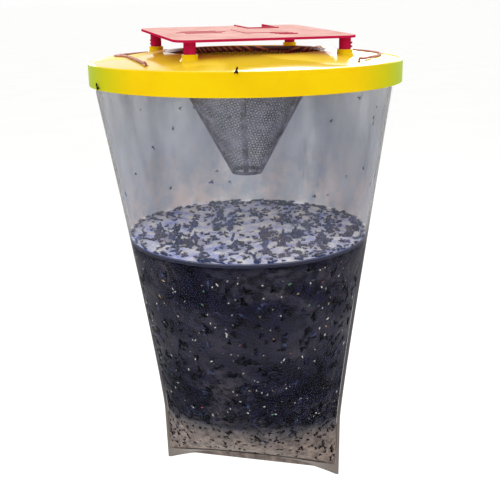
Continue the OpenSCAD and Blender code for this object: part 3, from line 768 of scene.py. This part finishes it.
def flyShape():
    # a fly on its belly along +X: abdomen, thorax, head and two folded wings
    bm = bmesh.new()
    for x, length, girth, sides in ((-0.2, 0.56, 1.0, 6), (0.22, 0.36, 1.05, 6), (0.46, 0.2, 0.8, 5)):
        part = bmesh.ops.create_uvsphere(bm, u_segments=sides, v_segments=4, radius=0.5)["verts"]
        bmesh.ops.rotate(bm, verts=part, cent=(0, 0, 0), matrix=Matrix.Rotation(math.pi / 2, 3, "Y"))
        bmesh.ops.scale(bm, verts=part, vec=(length * flySet["length"], girth * flySet["girth"],
                                             girth * 0.85 * flySet["girth"]))
        bmesh.ops.translate(bm, verts=part, vec=(x * flySet["length"], 0, 0))
    for s in (-1, 1):
        wing = bmesh.ops.create_uvsphere(bm, u_segments=4, v_segments=2, radius=0.5)["verts"]
        bmesh.ops.scale(bm, verts=wing, vec=(0.7 * flySet["length"], 0.9 * flySet["girth"],
                                             0.1 * flySet["girth"]))
        turn = Matrix.Rotation(math.radians(s * -14), 3, "Z")
        bmesh.ops.rotate(bm, verts=wing, cent=(0, 0, 0), matrix=turn)
        bmesh.ops.translate(bm, verts=wing, vec=(-0.22 * flySet["length"], s * 0.5 * flySet["girth"],
                                                 0.42 * flySet["girth"]))
    mesh = bpy.data.meshes.new("flyShape")
    bm.to_mesh(mesh)
    bm.free()
    return mesh


oneFly = flyShape()
flyCorners = len(oneFly.vertices)


def addFlies(name, places, material, replaced=()):
    bm = bmesh.new()
    for place in places:
        bm.from_mesh(oneFly)
        bm.verts.ensure_lookup_table()
        bmesh.ops.transform(bm, matrix=place, verts=bm.verts[-flyCorners:])
    finishPiece(bm, name, material, replaced)


def wallPlace(rng, t, angle, inset, flat):
    # lies flat against the film, turned at random
    p = twisted(wallPoint(t, angle, inset), t)
    ahead = twisted(wallPoint(t, angle + 0.02, inset), t)
    below = twisted(wallPoint(t + 0.01, angle, inset), t + 0.01)
    side = (ahead - p).normalized()
    out = side.cross((p - below).normalized()).normalized()
    up = out.cross(side)
    basis = Matrix((side, up, out)).transposed().to_4x4()
    spin = Matrix.Rotation(rng.uniform(0, 2 * math.pi), 4, "Z")
    size = rng.uniform(0.6, 1.05)
    return Matrix.Translation(p) @ basis @ spin @ Matrix.Diagonal((size, size, size * flat, 1))


def seamAngle(rng):
    # keeps flies away from the flat corners by the seams
    clear = flySet["seamClear"]
    return rng.choice((0, math.pi)) + rng.uniform(clear, math.pi - clear)


def makeCatch():
    rng = random.Random(flySet["seed"])
    radius = halfWidth(depthShare(catchTop)) - 4
    places = []
    for i in range(flySet["floating"]):
        r, a = radius * rng.random() ** 0.42, rng.uniform(0, 2 * math.pi)
        lift = rng.uniform(-0.8, 0.2)
        tilt = Matrix.Rotation(rng.uniform(-0.25, 0.25), 4, "Y")
        tilt = tilt @ Matrix.Rotation(rng.uniform(-0.5, 0.5), 4, "X")
        spot = Matrix.Translation(Vector((r * math.cos(a), r * math.sin(a), catchTop + lift)) * mm)
        spin = Matrix.Rotation(rng.uniform(0, 6.3), 4, "Z")
        places.append(spot @ spin @ tilt @ Matrix.Scale(rng.uniform(0.45, 0.9), 4))
    for i in range(flySet["washed"]):
        # washed against the film
        r, a = radius + rng.uniform(0.5, 3), rng.uniform(0, 2 * math.pi)
        lift = rng.uniform(-0.7, 0.6)
        spot = Matrix.Translation(Vector((r * math.cos(a), r * math.sin(a), catchTop + lift)) * mm)
        around = Matrix.Rotation(a + math.pi / 2 + rng.uniform(-0.5, 0.5), 4, "Z")
        places.append(spot @ around @ Matrix.Scale(rng.uniform(0.45, 0.75), 4))
    # heaps that stand out of the froth
    for cx, cy, height in heaps:
        for i in range(flySet["inHeap"]):
            z = catchTop + 1.3 * height * rng.random() ** 1.2
            spread = 3.2 * (1 - 0.55 * (z - catchTop) / height)
            spot = Vector((cx + rng.uniform(-spread, spread), cy + rng.uniform(-spread, spread), z)) * mm
            turn = Matrix.Rotation(rng.uniform(0, 6.3), 4, "Z")
            turn = turn @ Matrix.Rotation(rng.uniform(-1.5, -0.3), 4, "Y")
            places.append(Matrix.Translation(spot) @ turn @ Matrix.Scale(rng.uniform(0.7, 1.05), 4))
    addFlies("floatingFlies", places, shell)


def makeDrowned():
    rng = random.Random(flySet["seed"] + 1)
    top, bottom = depthShare(liquidTop) + 0.015, sludgeShare
    places = []
    for i in range(flySet["drowned"]):
        t = top + (bottom - top) * rng.random() ** 0.72
        places.append(wallPlace(rng, t, seamAngle(rng), pouchSet["film"] + 0.46, 0.3))
    addFlies("drownedFlies", places, soaked)


def makeSettled():
    rng = random.Random(flySet["seed"] + 2)
    places = []
    for i in range(flySet["settled"]):
        t = sludgeShare - 0.02 + 0.15 * rng.random() ** 1.5
        place = wallPlace(rng, t, seamAngle(rng), pouchSet["film"] + 0.4, 0.3)
        places.append(place @ Matrix.Scale(rng.uniform(0.35, 0.6), 4))
    addFlies("settledFlies", places, soaked)


def makeStrays():
    # a few that cling inside the film above the liquid
    rng = random.Random(flySet["seed"] + 4)
    places = []
    for i in range(flySet["clinging"]):
        t = rng.uniform(0.04, depthShare(catchTop) - 0.02)
        places.append(wallPlace(rng, t, seamAngle(rng), pouchSet["film"] + 0.9, 0.6) @ Matrix.Scale(0.5, 4))
    addFlies("clingingFlies", places, shell)


def makeRimFlies():
    rim, skirt = math.radians(-110), math.radians(192.5)
    flyAt = ((rim, 95.3, 0.5, -45, 10), (skirt, 96, -11.3, 0, -25))
    places = []
    for angle, r, z, lean, turn in flyAt:
        spot = Vector((r * math.cos(angle), r * math.sin(angle), z)) * mm
        upright = Matrix.Rotation(angle, 4, "Z") @ Matrix.Rotation(math.radians(lean - 90), 4, "Y")
        places.append(Matrix.Translation(spot) @ upright @ Matrix.Rotation(math.radians(turn), 4, "Z"))
    places = [place @ Matrix.Diagonal((0.66, 0.5, 0.6, 1)) for place in places]
    addFlies("perchedFlies", places, soaked, ["perched_flies"])


makeCatch()
makeDrowned()
makeSettled()
makeStrays()
makeRimFlies()
print("flies placed")


# Wings and husks behind the film, as flakes coloured near white, amber, green and red as painted glints; each
# tone has a share of the flakes

flakeSet = {"count": 420, "size": 1.25 * mm,
            "tones": (("paleWingFlake", "#E6E4DC", 0.7), ("amberWingFlake", "#C8A860", 0.16),
                      ("greenWingFlake", "#4FA078", 0.09), ("redWingFlake", "#A03A44", 0.05))}


def makeFlakes(name, tone, share):
    # wet chitin: thin and glossy; the nearly white or amber colour is painted glint
    material, tree, shader, coords = startMaterial(name, Roughness=0.25, IOR=1.5)
    speck = addNode(tree, "ShaderNodeTexNoise", {"Scale": 800.0}, {"Vector": coords})
    colour = addRamp(tree, speck.outputs["Fac"], [(0.3, hexLinear("#8A8780")), (0.5, hexLinear(tone))])
    tree.links.new(colour, shader.inputs["Base Color"])
    rng = random.Random(name)
    bm = bmesh.new()
    for i in range(int(flakeSet["count"] * share)):
        t = depthShare(liquidTop) + 0.02 + 0.44 * rng.random()
        place = wallPlace(rng, t, seamAngle(rng), pouchSet["film"] + 0.4, 0.5)
        verts = bmesh.ops.create_uvsphere(bm, u_segments=5, v_segments=3, radius=0.5)["verts"]
        size = flakeSet["size"] * rng.uniform(0.5, 1.3)
        shape = Matrix.Diagonal((size * rng.uniform(1, 2.6), size * 0.7, size * 0.35, 1))
        bmesh.ops.transform(bm, matrix=place @ shape, verts=verts)
    finishPiece(bm, name + "s", material)


for name, tone, share in flakeSet["tones"]:
    makeFlakes(name, tone, share)


# The studio is a pale floor under a white sky, with soft lights

stageSet = {"floorZ": -0.62, "halfSide": 150, "dark": "#FCFCFB", "light": "#FEFEFD"}


def makeStage():
    bm = bmesh.new()
    bmesh.ops.create_grid(bm, x_segments=1, y_segments=1, size=stageSet["halfSide"])
    bmesh.ops.translate(bm, verts=bm.verts, vec=(0, 0, stageSet["floorZ"]))
    mesh = bpy.data.meshes.new("floor")
    bm.to_mesh(mesh)
    bm.free()
    material, tree, shader, coords = startMaterial("paintedFloor", Roughness=0.9)
    tone = addNode(tree, "ShaderNodeTexNoise", {"Scale": 3.0}, {"Vector": coords})
    colour = addRamp(tree, tone.outputs["Fac"], [(0.3, hexLinear(stageSet["dark"])),
                                                 (0.7, hexLinear(stageSet["light"]))])
    tree.links.new(colour, shader.inputs["Base Color"])
    mesh.materials.append(material)
    floor = bpy.data.objects.new("floor", mesh)
    scene.collection.objects.link(floor)


def addLight(name, place, aim, size, power, glareOnly=False):
    data = bpy.data.lights.new(name, "AREA")
    data.size = size
    data.energy = power
    light = bpy.data.objects.new(name, data)
    light.location = place
    light.rotation_euler = (Vector(aim) - Vector(place)).to_track_quat("-Z", "Y").to_euler()
    light.visible_diffuse = not glareOnly
    light.visible_transmission = not glareOnly
    scene.collection.objects.link(light)


def makeLights():
    world = bpy.data.worlds.new("studio")
    world.use_nodes = True
    world.node_tree.nodes["Background"].inputs["Color"].default_value = grey(1)
    world.node_tree.nodes["Background"].inputs["Strength"].default_value = 1.0
    scene.world = world
    turn = Matrix.Rotation(math.radians(cameraSet["turn"]), 3, "Z")
    addLight("keyLight", turn @ Vector((-0.9, -1.1, 1.3)), (0, 0, -0.1), 1.0, 6)
    addLight("fillLight", turn @ Vector((1.3, -0.9, 0.5)), (0, 0, -0.12), 1.2, 2)
    addLight("topLight", turn @ Vector((0.1, 0.3, 1.8)), (0, 0, 0), 1.2, 6)
    addLight("glareCard", turn @ Vector((0.3, 2.2, 0.85)), (0, 0, 0), 0.7, 42, True)
    addLight("leftCard", turn @ Vector((-0.9, 1.8, 0.28)), (0, 0, 0), 0.5, 16, True)
    addLight("rightCard", turn @ Vector((1.1, 1.7, 0.3)), (0, 0, 0), 0.5, 16, True)


makeStage()
makeLights()
scene.view_settings.view_transform = "Standard"
print("studio ready")
